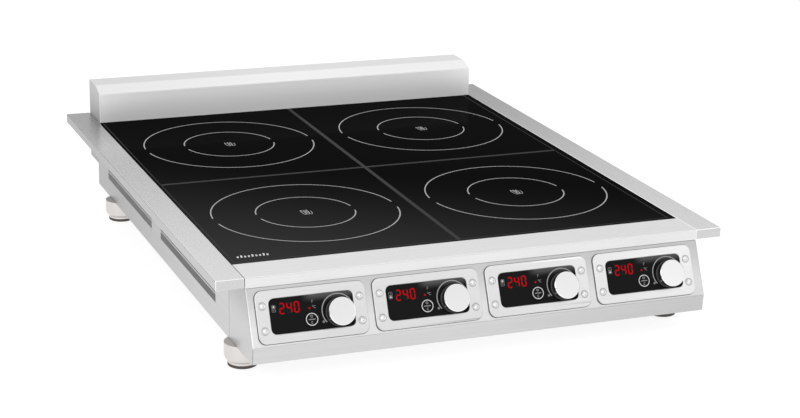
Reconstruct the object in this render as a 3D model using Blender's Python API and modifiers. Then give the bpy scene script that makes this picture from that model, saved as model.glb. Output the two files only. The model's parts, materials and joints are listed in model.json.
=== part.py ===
"""Four-zone countertop induction cooktop, in metres, +Z up, front towards -Y.

The origin is on the floor under the middle of the cooktop. Depths are measured back from the
worktop's front edge and heights down from the glass, and at() turns both into world places.
"""
import math

import bmesh
import bpy
from mathutils import Matrix, Vector

# Overall sizes
WIDTH = 0.700            # over the two side rails
BODY_WIDTH = 0.625       # glass, body and rear housing
GLASS_HEIGHT = 0.135     # top of the glass above the floor
FRONT_EDGE_Y = -0.3985   # worktop's front edge, from the origin
REAR_DEPTH = 0.836       # back of the rails and of the rear housing
BODY_DEPTH = 0.784       # back of the body
BODY_DROP = 0.103        # underside of the body, below the glass
GAP = 0.0003             # clearance between touching pieces
SHEET = 0.0015           # folded stainless sheet
THIN_SHEET = 0.0012      # side and rear panels
EDGE = 0.0010            # rounding of folded edges

# Worktop
RAIL_DROP = 0.0135
GLASS_FRONT = 0.055
GLASS_REAR = 0.768
GLASS_THICKNESS = 0.004
LEDGE_DROP = 0.0055      # top of the ledges that carry the glass
LEDGE_WIDTH = 0.0145
SEAL_WIDTH = 0.010

# Rear housing
HOUSING_HEIGHT = 0.054
HOUSING_CHAMFER_Y = 0.794
HOUSING_CHAMFER_Z = 0.0455
HOUSING_DROP = 0.070
HOUSING_SLOT = (0.046, 0.007)
HOUSING_SLOT_COUNT = 9
HOUSING_SLOT_PITCH = 0.066
HOUSING_SLOT_DROPS = (0.022, 0.036)

# Control front
SLOPE_OUT = 0.031        # how far the slope's lower edge stands forward
SLOPE_DROP = 0.0815
BAND_OUT = 0.0287
CHEEK_DEPTH = 0.069
SLOPE_ANGLE = math.atan2(SLOPE_OUT, SLOPE_DROP - RAIL_DROP)

# Control modules, on the slope
MODULE_PITCH = 0.1532
MODULE_SHIFT = -0.0018   # the row stands a little left of the middle
MODULE_DOWN = 0.038      # module centre, down the slope
BEZEL = (0.143, 0.066, 0.0095)
BEZEL_THICKNESS = 0.0025
WINDOW = (0.1088, 0.0444, 0.007)
WINDOW_THICKNESS = 0.0018
SCREW_ACROSS = 0.0632
SCREW_ROWS = (0.0141, -0.0167)
CUTOUT = (0.084, 0.0405)
KNOB_SPOT = (0.0345, -0.0033)
KNOB_RADIUS = 0.0175
KNOB_HEIGHT = 0.014
BUTTON_SPOT = (-0.0022, -0.0092)
BUTTON_RADIUS = 0.009
STEM_RADIUS = 0.003
STEM_END = -0.0105
CONTROL_BOARD = (0.048, 0.0185)
BOARD_BACK = 0.0136
QUARTERS = ((-1, -1), (1, -1), (1, 1), (-1, 1))

# Cooking zones and what is under them
ZONE_X = 0.1555
ZONE_DEPTHS = {"front": 0.2335, "rear": 0.5915}
CARRIER_RADIUS = 0.120
CARRIER_HOLE = 0.015
CARRIER_DROP = 0.011
CARRIER_THICKNESS = 0.005
POST_CIRCLE = 0.108
WINDING_OUTER = 0.114
WINDING_INNER = 0.026
WINDING_THICKNESS = 0.004
PAN_TOP_DROP = 0.0997
BOARD_DEPTH = 0.412
BOARD_SIZE = (0.180, 0.104)
BOARD_LIFT = 0.0037      # standoffs under the power boards
HEATSINK = (0.150, 0.034, 12)
HEATSINK_LENGTH = 0.080
FAN_SIZE = 0.092
FAN_THICKNESS = 0.025
FAN_BORE = 0.043
FAN_HUB = 0.018
BLADE_COUNT = 7
BLADE_PITCH = math.radians(38)
AIR_HOLE_RADIUS = 0.0085
AIR_HOLE_CIRCLE = 0.031

# Side vents: two groups of two rows, as start and end depths
VENT_GROUPS = ((0.129, 0.403), (0.453, 0.717))
VENT_ROWS = (0.052, 0.065)
VENT_HEIGHT = 0.011

# Legs
LEG_X = 0.299
LEG_DEPTHS = {"front": 0.056, "rear": 0.694}
LEG_RADIUS = 0.0235
FOOT_RADIUS = 0.0190

# Rear panel: its air windows, and the cable gland under the housing
REAR_WINDOW_COUNT = 8
REAR_WINDOW_PITCH = 0.070
REAR_WINDOW_WIDTH = 0.050
REAR_WINDOW_DROPS = (0.030, 0.052)
GLAND_X = -0.230
GLAND_DROP = 0.0865
GLAND_HOLE = 0.0083
TERMINAL_DEPTH = 0.750

SIDES = (("left", -1), ("right", 1))
ROUND_STEPS = 32         # around visible round pieces
SMALL_STEPS = 24         # around small pieces and those inside the body


def at(x, depth, drop):
    """World place of a point given by its depth from the front edge and drop below the glass."""
    return Vector((x, FRONT_EDGE_Y + depth, GLASS_HEIGHT - drop))


def clear_scene():
    for obj in list(bpy.data.objects):
        bpy.data.objects.remove(obj, do_unlink=True)


def make_collection(name):
    group = bpy.data.collections.new(name)
    bpy.context.scene.collection.children.link(group)
    return group


def make_material(name, colour, roughness, metallic=0.0):
    material = bpy.data.materials.new(name)
    material.use_nodes = True
    shader = material.node_tree.nodes["Principled BSDF"]
    shader.inputs["Base Color"].default_value = (*colour, 1.0)
    shader.inputs["Roughness"].default_value = roughness
    shader.inputs["Metallic"].default_value = metallic
    return material


def place(name, mesh, material=None, group=None, matrix=None, parent=None):
    """Object for a mesh, in the parts' collection unless another is given."""
    obj = bpy.data.objects.new(name, mesh)
    (group or PARTS).objects.link(obj)
    if material:
        mesh.materials.clear()
        mesh.materials.append(material)
    if matrix:
        obj.matrix_world = matrix
    if parent:
        obj.parent = parent
    return obj


def box_mesh(name, low, high):
    """Mesh of a box between two corners."""
    low, high = Vector(low), Vector(high)
    scale = Matrix.Diagonal((*(high - low), 1.0))
    mesh = bpy.data.meshes.new(name)
    work = bmesh.new()
    bmesh.ops.create_cube(work, size=1.0, matrix=Matrix.Translation((low + high) / 2) @ scale)
    work.to_mesh(mesh)
    work.free()
    return mesh


def cylinder_mesh(name, radius, z_low, z_high, centre=(0.0, 0.0), segments=ROUND_STEPS):
    mesh = bpy.data.meshes.new(name)
    work = bmesh.new()
    spot = Matrix.Translation((centre[0], centre[1], (z_low + z_high) / 2))
    bmesh.ops.create_cone(work, cap_ends=True, segments=segments, radius1=radius, radius2=radius,
                          depth=z_high - z_low, matrix=spot)
    work.to_mesh(mesh)
    work.free()
    return mesh


def circle(radius, centre=(0.0, 0.0), segments=ROUND_STEPS):
    turn = 2 * math.pi / segments
    return [(centre[0] + radius * math.cos(k * turn), centre[1] + radius * math.sin(k * turn))
            for k in range(segments)]


def rounded_rectangle(width, height, radius, corner_steps=5):
    points = []
    for corner in range(4):
        x_sign = 1 if corner in (0, 3) else -1
        y_sign = 1 if corner in (0, 1) else -1
        for k in range(corner_steps + 1):
            angle = math.pi / 2 * (corner + k / corner_steps)
            points.append((x_sign * (width / 2 - radius) + radius * math.cos(angle),
                           y_sign * (height / 2 - radius) + radius * math.sin(angle)))
    return points


def rectangle(x_low, y_low, x_high, y_high):
    return [(x_low, y_low), (x_high, y_low), (x_high, y_high), (x_low, y_high)]


def outline_mesh(name, outlines, thickness, lift=0.0):
    """Flat plate of the given thickness: the first outline is its rim, the others are holes."""
    curve = bpy.data.curves.new(name, "CURVE")
    curve.dimensions = "2D"
    curve.fill_mode = "BOTH"
    curve.extrude = thickness / 2
    for outline in outlines:
        spline = curve.splines.new("POLY")
        spline.points.add(len(outline) - 1)
        for point, (x, y) in zip(spline.points, outline):
            point.co = (x, y, 0.0, 1.0)
        spline.use_cyclic_u = True
    flat = bpy.data.objects.new(name + "_outline", curve)
    CUTTERS.objects.link(flat)
    bpy.context.view_layer.update()
    mesh = bpy.data.meshes.new_from_object(flat.evaluated_get(bpy.context.evaluated_depsgraph_get()))
    bpy.data.objects.remove(flat, do_unlink=True)
    mesh.name = name
    work = bmesh.new()
    work.from_mesh(mesh)
    bmesh.ops.remove_doubles(work, verts=work.verts, dist=0.00001)
    bmesh.ops.translate(work, verts=work.verts, vec=(0.0, 0.0, lift))
    bmesh.ops.recalc_face_normals(work, faces=work.faces)
    work.to_mesh(mesh)
    work.free()
    return mesh


def turned(name, profile, material, matrix=None, closed=False, parent=None, steps=ROUND_STEPS):
    """Solid of revolution about its own Z. The profile runs down the outer side."""
    mesh = bpy.data.meshes.new(name)
    edges = [(k, k + 1) for k in range(len(profile) - 1)]
    if closed:
        edges.append((len(profile) - 1, 0))
    mesh.from_pydata([(r, 0.0, z) for r, z in profile], edges, [])
    obj = place(name, mesh, material, matrix=matrix, parent=parent)
    screw = obj.modifiers.new("turn", "SCREW")
    screw.steps = steps
    screw.render_steps = steps
    screw.use_merge_vertices = True
    screw.merge_threshold = 0.00001
    screw.use_smooth_shade = True
    return obj


def add_bevel(obj, width=EDGE, segments=2):
    bevel = obj.modifiers.new("edges", "BEVEL")
    bevel.width = width
    bevel.segments = segments
    bevel.limit_method = "ANGLE"
    bevel.angle_limit = math.radians(15)
    return bevel


def combine(obj, mesh, operation, matrix=None):
    """Boolean of a helper mesh, kept in the cutters' collection, onto an object."""
    helper = place(obj.name + "_" + mesh.name, mesh, group=CUTTERS, matrix=matrix)
    helper.hide_render = True
    helper.display_type = "WIRE"
    modifier = obj.modifiers.new(mesh.name, "BOOLEAN")
    modifier.object = helper
    modifier.operation = operation
    modifier.solver = "EXACT"
    return helper


def cross_section(x_low, x_high):
    """Matrix that stands an outline drawn as (depth, drop) in a plane across X."""
    turn = Matrix(((0, 0, 1, 0), (1, 0, 0, 0), (0, -1, 0, 0), (0, 0, 0, 1)))
    return Matrix.Translation(at((x_low + x_high) / 2, 0.0, 0.0)) @ turn


def prism(name, outline, x_low, x_high):
    """Mesh and matrix of a (depth, drop) outline carried from x_low to x_high."""
    return outline_mesh(name, [outline], x_high - x_low), cross_section(x_low, x_high)


# Worktop -----------------------------------------------------------------------------------

def build_side_rails():
    """Inverted trays along both sides, outside the body."""
    for side, sign in SIDES:
        inner = sign * (BODY_WIDTH / 2 + GAP)
        outer = sign * WIDTH / 2
        low = at(min(inner, outer), 0.0, RAIL_DROP)
        high = at(max(inner, outer), REAR_DEPTH, 0.0)
        rail = place(side + "_side_rail", box_mesh("rail", low, high), STEEL)
        add_bevel(rail)
        wall = Vector((SHEET, SHEET, 0.0))
        hollow_low = low + wall - Vector((0.0, 0.0, RAIL_DROP))
        hollow_high = high - wall - Vector((0.0, 0.0, SHEET))
        combine(rail, box_mesh("hollow", hollow_low, hollow_high), "DIFFERENCE")


def add_thickness(obj, thickness):
    shell = obj.modifiers.new("sheet", "SOLIDIFY")
    shell.thickness = thickness
    shell.offset = -1.0
    shell.use_even_offset = True


def build_front_strip():
    """Folded strip in front of the glass, with a ledge under the glass's front edge."""
    step = GLASS_FRONT - GAP
    fold = [(0.0, RAIL_DROP), (0.0, 0.0), (step, 0.0), (step, LEDGE_DROP),
            (GLASS_FRONT + LEDGE_WIDTH - SHEET, LEDGE_DROP)]
    half = BODY_WIDTH / 2
    mesh = bpy.data.meshes.new("front_top_strip")
    work = bmesh.new()
    corners = [work.verts.new(at(-half, depth, drop)) for depth, drop in fold]
    edges = [work.edges.new(pair) for pair in zip(corners, corners[1:])]
    swept = bmesh.ops.extrude_edge_only(work, edges=edges)["geom"]
    moved = [item for item in swept if isinstance(item, bmesh.types.BMVert)]
    bmesh.ops.translate(work, verts=moved, vec=(2 * half, 0.0, 0.0))
    bmesh.ops.recalc_face_normals(work, faces=work.faces)
    top = max(work.faces, key=lambda face: face.calc_center_median().z)
    if top.normal.z < 0:
        bmesh.ops.reverse_faces(work, faces=work.faces)
    work.to_mesh(mesh)
    work.free()
    strip = place("front_top_strip", mesh, STEEL)
    add_bevel(strip, EDGE)
    add_thickness(strip, SHEET)


def build_glass():
    half = BODY_WIDTH / 2 - GAP / 2
    low = at(-half, GLASS_FRONT, GLASS_THICKNESS)
    glass = place("glass_top", box_mesh("glass_top", low, at(half, GLASS_REAR - GAP, 0.0)), GLASS)
    add_bevel(glass, 0.0004, 1)

    rim = BODY_WIDTH / 2 - EDGE
    front = FRONT_EDGE_Y + GLASS_FRONT + EDGE
    rear = FRONT_EDGE_Y + GLASS_REAR - EDGE
    outer = rectangle(-rim, front, rim, rear)
    inner = rectangle(-rim + SEAL_WIDTH, front + SEAL_WIDTH, rim - SEAL_WIDTH, rear - SEAL_WIDTH)
    thickness = LEDGE_DROP - GLASS_THICKNESS - 2 * GAP
    middle = GLASS_HEIGHT - (LEDGE_DROP + GLASS_THICKNESS) / 2
    place("glass_seal", outline_mesh("glass_seal", [outer, inner], thickness, middle), RUBBER)


def build_rear_housing():
    """Upstand behind the glass, going on down behind the body as an exhaust duct."""
    half = BODY_WIDTH / 2
    floor = LEDGE_DROP + SHEET
    behind = BODY_DEPTH + GAP
    outline = [(GLASS_REAR, floor), (GLASS_REAR, -HOUSING_CHAMFER_Z),
               (HOUSING_CHAMFER_Y, -HOUSING_HEIGHT), (REAR_DEPTH, -HOUSING_HEIGHT),
               (REAR_DEPTH, HOUSING_DROP), (behind, HOUSING_DROP), (behind, floor)]
    mesh, matrix = prism("rear_housing", outline, -half, half)
    housing = place("rear_housing", mesh, STEEL, matrix=matrix)
    add_bevel(housing)

    hollow = [(GLASS_REAR + SHEET, LEDGE_DROP), (GLASS_REAR + SHEET, SHEET - HOUSING_CHAMFER_Z),
              (HOUSING_CHAMFER_Y, SHEET - HOUSING_HEIGHT),
              (REAR_DEPTH - SHEET, SHEET - HOUSING_HEIGHT), (REAR_DEPTH - SHEET, 2 * HOUSING_DROP),
              (behind + SHEET, 2 * HOUSING_DROP), (behind + SHEET, LEDGE_DROP)]
    mesh, matrix = prism("hollow", hollow, SHEET - half, half - SHEET)
    combine(housing, mesh, "DIFFERENCE", matrix)

    ledge_half = half - THIN_SHEET - 2 * GAP
    low = at(-ledge_half, GLASS_REAR - LEDGE_WIDTH + SHEET, floor)
    high = at(ledge_half, GLASS_REAR + SHEET / 2, LEDGE_DROP)
    combine(housing, box_mesh("ledge", low, high), "UNION")
    combine(housing, housing_slots(), "DIFFERENCE")


def housing_slots():
    """Rows of level slots through the rear wall of the housing."""
    length, height = HOUSING_SLOT
    scale = Matrix.Diagonal((length, 10 * SHEET, height, 1.0))
    work = bmesh.new()
    for drop in HOUSING_SLOT_DROPS:
        for k in range(HOUSING_SLOT_COUNT):
            x = (k - (HOUSING_SLOT_COUNT - 1) / 2) * HOUSING_SLOT_PITCH
            spot = Matrix.Translation(at(x, REAR_DEPTH, drop + height / 2))
            bmesh.ops.create_cube(work, size=1.0, matrix=spot @ scale)
    mesh = bpy.data.meshes.new("slots")
    work.to_mesh(mesh)
    work.free()
    return mesh


# Body ---------------------------------------------------------------------------------------

def build_front_fascia():
    """Sloping control front with its lower band, end cheeks and bottom return."""
    half = BODY_WIDTH / 2
    top = RAIL_DROP + GAP
    outline = [(0.0, top), (-SLOPE_OUT, SLOPE_DROP), (-BAND_OUT, BODY_DROP),
               (CHEEK_DEPTH, BODY_DROP), (CHEEK_DEPTH, top)]
    mesh, matrix = prism("front_fascia", outline, -half, half)
    fascia = place("front_fascia", mesh, STEEL, matrix=matrix)
    add_bevel(fascia)

    across = SHEET / math.cos(SLOPE_ANGLE)
    open_top = RAIL_DROP - SHEET
    top_start = across + (RAIL_DROP - open_top) * math.tan(SLOPE_ANGLE)
    inner_floor = BODY_DROP - SHEET
    hollow = [(top_start, open_top), (across - SLOPE_OUT, SLOPE_DROP),
              (SHEET - BAND_OUT, inner_floor), (0.020, inner_floor), (0.020, 2 * BODY_DROP),
              (2 * CHEEK_DEPTH, 2 * BODY_DROP), (2 * CHEEK_DEPTH, open_top)]
    mesh, matrix = prism("hollow", hollow, THIN_SHEET - half, half - THIN_SHEET)
    combine(fascia, mesh, "DIFFERENCE", matrix)

    width, height = CUTOUT
    for number, x in module_places():
        low = (-width / 2, -height / 2, -4 * SHEET)
        high = (width / 2, height / 2, 4 * SHEET)
        combine(fascia, box_mesh("cutout_%d" % number, low, high), "DIFFERENCE", module_matrix(x))


def build_side_panels():
    """Vented side walls, with a top flange under the glass and a bottom flange."""
    half = BODY_WIDTH / 2
    front = CHEEK_DEPTH + GAP
    step = GLASS_REAR - 0.0005
    top = LEDGE_DROP
    wall = [(front, BODY_DROP), (BODY_DEPTH, BODY_DROP), (BODY_DEPTH, top + SHEET + GAP),
            (step, top + SHEET + GAP), (step, top), (front, top)]
    vents = [rectangle(start, row, end, row + VENT_HEIGHT)
             for start, end in VENT_GROUPS for row in VENT_ROWS]
    for side, sign in SIDES:
        mesh = outline_mesh(side + "_side_panel", [wall] + vents, THIN_SHEET)
        middle = sign * (half - THIN_SHEET / 2)
        panel = place(side + "_side_panel", mesh, STEEL, matrix=cross_section(middle, middle))
        top_end = GLASS_REAR - LEDGE_WIDTH + SHEET - GAP
        inset = 0.0002
        flanges = (("top_flange", top + SHEET, top_end), ("bottom_flange", BODY_DROP, BODY_DEPTH))
        for name, drop, end in flanges:
            inner = sign * (half - LEDGE_WIDTH)
            outer = sign * (half - THIN_SHEET / 2)
            low = at(min(inner, outer), front + inset, drop - inset)
            high = at(max(inner, outer), end - inset, drop - SHEET + inset)
            combine(panel, box_mesh(name, low, high), "UNION")


def build_rear_panel():
    half = BODY_WIDTH / 2 - THIN_SHEET - GAP
    low_edge = BODY_DROP - SHEET - GAP
    rim = rectangle(-half, GLASS_HEIGHT - low_edge, half, GLASS_HEIGHT - LEDGE_DROP - SHEET - GAP)
    holes = [circle(GLAND_HOLE, (GLAND_X, GLASS_HEIGHT - GLAND_DROP))]
    window_top, window_foot = [GLASS_HEIGHT - drop for drop in REAR_WINDOW_DROPS]
    for k in range(REAR_WINDOW_COUNT):
        x = (k - (REAR_WINDOW_COUNT - 1) / 2) * REAR_WINDOW_PITCH
        reach = REAR_WINDOW_WIDTH / 2
        holes.append(rectangle(x - reach, window_foot, x + reach, window_top))
    mesh = outline_mesh("rear_panel", [rim] + holes, THIN_SHEET)
    middle = FRONT_EDGE_Y + BODY_DEPTH - THIN_SHEET / 2
    stand = Matrix.Translation((0.0, middle, 0.0)) @ Matrix.Rotation(math.pi / 2, 4, "X")
    place("rear_panel", mesh, STEEL, matrix=stand)


def build_base_pan():
    """Bottom plate, with a ring of air holes under each fan."""
    half = BODY_WIDTH / 2 - THIN_SHEET - GAP
    front = FRONT_EDGE_Y - BAND_OUT + 3 * SHEET
    rear = FRONT_EDGE_Y + BODY_DEPTH - THIN_SHEET - GAP
    holes = []
    for _, sign in SIDES:
        centre = at(sign * ZONE_X, ZONE_DEPTHS["front"], 0.0)
        spots = circle(AIR_HOLE_CIRCLE, (centre.x, centre.y), 8)
        holes += [circle(AIR_HOLE_RADIUS, spot, 10) for spot in spots]
    middle = GLASS_HEIGHT - PAN_TOP_DROP - SHEET / 2
    mesh = outline_mesh("base_pan", [rectangle(-half, front, half, rear)] + holes, SHEET, middle)
    place("base_pan", mesh, GALVANISED)


def build_cable_gland():
    profile = [(0.0070, 0.0220), (0.0105, 0.0180), (0.0105, 0.0090), (0.0125, 0.0085),
               (0.0125, GAP), (0.0080, GAP), (0.0080, -0.0090), (0.0045, -0.0090),
               (0.0045, 0.0220)]
    outward = Matrix.Rotation(-math.pi / 2, 4, "X")
    spot = Matrix.Translation(at(GLAND_X, BODY_DEPTH, GLAND_DROP))
    turned("cable_gland", profile, BLACK_PLASTIC, spot @ outward, closed=True, steps=16)


# Legs ---------------------------------------------------------------------------------------

def build_legs():
    top = GLASS_HEIGHT - BODY_DROP - GAP
    sleeve = [(LEG_RADIUS, top), (LEG_RADIUS, 0.0155), (0.0230, 0.0125), (0.0215, 0.0095),
              (0.0195, 0.0080), (0.0064, 0.0080), (0.0064, top)]
    foot = [(0.0, 0.0300), (0.0060, 0.0300), (0.0060, 0.0077), (0.0172, 0.0077),
            (0.0178, 0.0071), (0.0178, 0.0047), (FOOT_RADIUS, 0.0043), (FOOT_RADIUS, 0.0008),
            (0.0174, 0.0), (0.0, 0.0)]
    for end, depth in LEG_DEPTHS.items():
        for side, sign in SIDES:
            axis = Matrix.Translation((sign * LEG_X, FRONT_EDGE_Y + depth, 0.0))
            turned("%s_%s_leg" % (end, side), sleeve, LEG_METAL, axis, closed=True, steps=SMALL_STEPS)
            turned("%s_%s_foot" % (end, side), foot, RUBBER, axis, steps=SMALL_STEPS)


# Control modules ------------------------------------------------------------------------------

def module_places():
    """Module numbers from the left, with their places across the front."""
    return [(k + 1, MODULE_SHIFT + (k - 1.5) * MODULE_PITCH) for k in range(4)]


def module_matrix(x):
    """Frame on the slope: X across, Y up the slope, Z straight out of it."""
    down = MODULE_DOWN
    depth = -math.sin(SLOPE_ANGLE) * down
    drop = RAIL_DROP + math.cos(SLOPE_ANGLE) * down
    return Matrix.Translation(at(x, depth, drop)) @ Matrix.Rotation(math.pi / 2 - SLOPE_ANGLE, 4, "X")


def build_modules():
    for number, x in module_places():
        frame = bpy.data.objects.new("module_%d_frame" % number, None)
        PARTS.objects.link(frame)
        frame.matrix_world = module_matrix(x)
        build_bezel(number, frame)
        build_window(number, frame)
        build_knob(number, frame)
        build_button(number, frame)
        build_control_board(number, frame)


def build_bezel(number, frame):
    width, height, radius = WINDOW
    opening = rounded_rectangle(width + 0.0008, height + 0.0008, radius + 0.0004)
    holes = [circle(0.0021, (sign * SCREW_ACROSS, row), 12) for _, sign in SIDES for row in SCREW_ROWS]
    outlines = [rounded_rectangle(*BEZEL), opening] + holes
    name = "bezel_plate_%d" % number
    mesh = outline_mesh(name, outlines, BEZEL_THICKNESS, GAP + BEZEL_THICKNESS / 2)
    place(name, mesh, STEEL, parent=frame)


def build_window(number, frame):
    holes = [circle(STEM_RADIUS + 2 * GAP, KNOB_SPOT, 16),
             circle(BUTTON_RADIUS + GAP, BUTTON_SPOT, SMALL_STEPS)]
    outlines = [rounded_rectangle(*WINDOW)] + holes
    name = "display_window_%d" % number
    mesh = outline_mesh(name, outlines, WINDOW_THICKNESS, GAP + WINDOW_THICKNESS / 2)
    place(name, mesh, GLASS, parent=frame)


def build_knob(number, frame):
    """Knob with its stem: the stem goes through the window into the encoder."""
    base = GAP + WINDOW_THICKNESS + 0.0004
    top = base + KNOB_HEIGHT
    body = KNOB_RADIUS - 0.0007
    skirt = KNOB_RADIUS + 0.0003
    profile = [(0.0, top), (KNOB_RADIUS - 0.0006, top), (KNOB_RADIUS, top - 0.0006),
               (KNOB_RADIUS, top - 0.0025), (body, top - 0.0029), (body, base + 0.0033),
               (skirt, base + 0.0030), (skirt, base), (STEM_RADIUS, base),
               (STEM_RADIUS, STEM_END), (0.0, STEM_END)]
    axis = Matrix.Translation((*KNOB_SPOT, 0.0))
    turned("knob_%d" % number, profile, KNOB_METAL, axis, parent=frame)


def build_button(number, frame):
    top = GAP + WINDOW_THICKNESS + 0.0002
    flange = BUTTON_RADIUS + 0.0008
    profile = [(0.0, top), (BUTTON_RADIUS - 0.0004, top), (BUTTON_RADIUS, top - 0.0004),
               (BUTTON_RADIUS, 0.0), (flange, 0.0), (flange, -0.0015), (0.0020, -0.0015),
               (0.0020, -0.0058), (0.0, -0.0058)]
    axis = Matrix.Translation((*BUTTON_SPOT, 0.0))
    turned("push_button_%d" % number, profile, BLACK_PLASTIC, axis, parent=frame, steps=SMALL_STEPS)


def build_control_board(number, frame):
    """Circuit board on four standoffs, with the encoder and the push switch on it."""
    name = "control_board_%d" % number
    face = 0.0016 - BOARD_BACK
    reach, half_height = CONTROL_BOARD
    mesh = box_mesh(name, (-reach, -half_height, -BOARD_BACK), (reach, half_height, face))
    board = place(name, mesh, CIRCUIT, parent=frame)
    matrix = frame.matrix_world
    overlap = face - 0.0004
    x, y = KNOB_SPOT
    encoder = box_mesh("encoder", (x - 0.0065, y - 0.0065, overlap), (x + 0.0065, y + 0.0065, -0.0050))
    combine(board, encoder, "UNION", matrix)
    bush = cylinder_mesh("bush", 0.0045, -0.0055, -0.0010, KNOB_SPOT, 16)
    combine(board, bush, "UNION", matrix)
    bore = cylinder_mesh("bore", STEM_RADIUS + GAP, STEM_END - 0.0007, 0.0010, KNOB_SPOT, 16)
    combine(board, bore, "DIFFERENCE", matrix)
    x, y = BUTTON_SPOT
    switch = box_mesh("switch", (x - 0.003, y - 0.003, overlap), (x + 0.003, y + 0.003, -0.0070))
    combine(board, switch, "UNION", matrix)
    for index, (sx, sy) in enumerate(QUARTERS):
        spot = (sx * (reach - 0.0028), sy * (half_height - 0.0035))
        post = cylinder_mesh("standoff_%d" % index, 0.0022, overlap, -SHEET - GAP, spot, 12)
        combine(board, post, "UNION", matrix)


# Inside the body --------------------------------------------------------------------------------

def zones():
    """Name, centre across and depth of each cooking zone."""
    return [("%s_%s" % (end, side), sign * ZONE_X, depth)
            for end, depth in ZONE_DEPTHS.items() for side, sign in SIDES]


def build_coils():
    upper = GLASS_HEIGHT - CARRIER_DROP
    lower = upper - CARRIER_THICKNESS
    winding_low = upper + GAP
    winding_high = winding_low + WINDING_THICKNESS
    carrier = [(CARRIER_RADIUS, upper), (CARRIER_RADIUS, lower), (CARRIER_HOLE, lower),
               (CARRIER_HOLE, upper)]
    winding = [(WINDING_OUTER, winding_high), (WINDING_OUTER, winding_low), (WINDING_INNER, winding_low),
               (WINDING_INNER, winding_high)]
    for name, x, depth in zones():
        axis = Matrix.Translation((x, FRONT_EDGE_Y + depth, 0.0))
        plate = turned("coil_carrier_" + name, carrier, MICA, axis, closed=True, steps=SMALL_STEPS)
        for index in range(3):
            angle = math.radians(90 + 120 * index)
            spot = (POST_CIRCLE * math.cos(angle), POST_CIRCLE * math.sin(angle))
            foot = GLASS_HEIGHT - PAN_TOP_DROP + GAP
            post = cylinder_mesh("post_%d" % index, 0.004, foot, lower + 0.001, spot, 12)
            combine(plate, post, "UNION", axis)
        turned("coil_winding_" + name, winding, COPPER, axis, closed=True, steps=SMALL_STEPS)


def build_power_boards():
    """One inverter board with its heatsink for each side's two zones."""
    pan = GLASS_HEIGHT - PAN_TOP_DROP
    low = pan + BOARD_LIFT
    high = low + 0.0016
    y = FRONT_EDGE_Y + BOARD_DEPTH
    half_width, half_depth = [size / 2 for size in BOARD_SIZE]
    inset = 0.006
    for side, sign in SIDES:
        x = sign * ZONE_X
        mesh = box_mesh("power_board_" + side, (x - half_width, y - half_depth, low),
                        (x + half_width, y + half_depth, high))
        board = place("power_board_" + side, mesh, CIRCUIT)
        for index, (sx, sy) in enumerate(QUARTERS):
            spot = (x + sx * (half_width - inset), y + sy * (half_depth - inset))
            post = cylinder_mesh("standoff_%d" % index, 0.003, pan + GAP, low + 0.0008, spot, 12)
            combine(board, post, "UNION")
        stand = Matrix.Translation((x, y, high + GAP)) @ Matrix.Rotation(math.pi / 2, 4, "X")
        mesh = outline_mesh("heatsink_" + side, [comb(*HEATSINK)], HEATSINK_LENGTH)
        place("heatsink_" + side, mesh, ALUMINIUM, matrix=stand)


def comb(width, height, teeth, base=0.006, tooth=0.003):
    """Outline of a finned bar, standing on y = 0."""
    pitch = (width - tooth) / (teeth - 1)
    points = [(-width / 2, 0.0), (width / 2, 0.0)]
    for k in reversed(range(teeth)):
        left = -width / 2 + k * pitch
        points += [(left + tooth, base), (left + tooth, height), (left, height), (left, base)]
    return [points[0], points[1]] + points[3:-1]


def build_fans():
    """Axial cooling fans on the base pan, under the front zones."""
    low = GLASS_HEIGHT - PAN_TOP_DROP + GAP
    high = low + FAN_THICKNESS
    spider_top = low + 0.002
    for side, sign in SIDES:
        x = sign * ZONE_X
        y = FRONT_EDGE_Y + ZONE_DEPTHS["front"]
        axis = Matrix.Translation((x, y, 0.0))
        shell = [rounded_rectangle(FAN_SIZE, FAN_SIZE, 0.004, 2), circle(FAN_BORE)]
        mesh = outline_mesh("fan_frame_" + side, shell, FAN_THICKNESS, low + FAN_THICKNESS / 2)
        frame = place("fan_frame_" + side, mesh, BLACK_PLASTIC, matrix=axis)
        for index in range(2):
            bar = box_mesh("spider_%d" % index, (-FAN_BORE - 0.001, -0.002, low + 0.0001),
                           (FAN_BORE + 0.001, 0.002, spider_top))
            turn = Matrix.Rotation(math.radians(45 + 90 * index), 4, "Z")
            combine(frame, bar, "UNION", axis @ turn)
        seat = cylinder_mesh("motor_seat", FAN_HUB, low + 0.0002, spider_top - 0.0001)
        combine(frame, seat, "UNION", axis)

        mesh = cylinder_mesh("fan_rotor_" + side, FAN_HUB, spider_top + 0.0005, high - 0.001)
        rotor = place("fan_rotor_" + side, mesh, BLACK_PLASTIC, matrix=axis)
        for index in range(BLADE_COUNT):
            blade = box_mesh("blade_%d" % index, (FAN_HUB - 0.002, -0.008, -0.0008),
                             (FAN_BORE - 0.001, 0.008, 0.0008))
            turn = Matrix.Rotation(2 * math.pi * index / BLADE_COUNT, 4, "Z")
            pitch = Matrix.Rotation(BLADE_PITCH, 4, "X")
            lift = Matrix.Translation((0.0, 0.0, (spider_top + high) / 2))
            combine(rotor, blade, "UNION", axis @ lift @ turn @ pitch)


def build_terminal_block():
    pan = GLASS_HEIGHT - PAN_TOP_DROP + GAP
    spot = Matrix.Translation((GLAND_X, FRONT_EDGE_Y + TERMINAL_DEPTH, pan))
    stand = spot @ Matrix.Rotation(math.pi / 2, 4, "X")
    outline = comb(0.062, 0.022, 6, 0.014, 0.003)
    place("terminal_block", outline_mesh("terminal_block", [outline], 0.024), WHITE_PLASTIC, matrix=stand)


def smooth_round_pieces():
    """Smooth shading with sharp edges kept, on every part."""
    for obj in PARTS.objects:
        if obj.type == "MESH" and not any(modifier.type == "SCREW" for modifier in obj.modifiers):
            obj.data.shade_smooth()
            obj.data.set_sharp_from_angle(angle=math.radians(30))


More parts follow.
